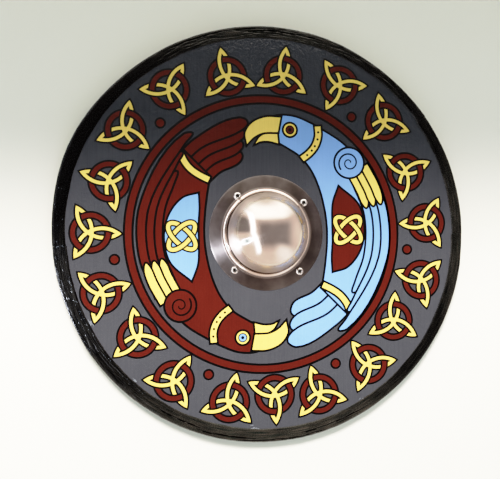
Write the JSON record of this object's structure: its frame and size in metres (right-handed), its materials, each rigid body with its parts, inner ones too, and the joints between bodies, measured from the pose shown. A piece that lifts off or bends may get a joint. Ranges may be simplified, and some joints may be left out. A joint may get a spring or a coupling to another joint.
{
  "type": "wooden round shield",
  "caption": "Round wooden shield with a painted face, a black edging in strips, a hollow domed steel boss held by screws, and a wooden bar grip across the hand hole.",
  "frame": {"origin": "under the middle of the shield, on the underside of the grip, where the shield rests lying on its back", "axes": "+Z leaves the painted face along the boss's axis, +Y is the top of the painted design, +X its right"},
  "size_m": [0.6096, 0.6089, 0.0834],
  "materials": {
    "board_wood": "oiled birch plywood",
    "edging": "glossy black rawhide",
    "boss_steel": "spun and brushed",
    "screw_steel": "polished",
    "grip_wood": "oiled",
    "paint_grey": "satin grey ground coat on wood",
    "paint_black": "black line paint on wood",
    "paint_red": "dark red paint on wood",
    "paint_yellow": "yellow paint on wood",
    "paint_blue": "light blue paint on wood"
  },
  "bodies": {
    "root": {"board": "board_wood", "rim_right": "edging", "rim_upper": "edging", "rim_left": "edging", "rim_lower": "edging", "boss": "boss_steel", "boss_screw_1": "screw_steel", "boss_screw_2": "screw_steel", "boss_screw_3": "screw_steel", "boss_screw_4": "screw_steel", "grip": "grip_wood", "grip_screw_1": "screw_steel", "grip_screw_2": "screw_steel", "grip_screw_3": "screw_steel", "grip_screw_4": "screw_steel"}
  },
  "joints": []
}
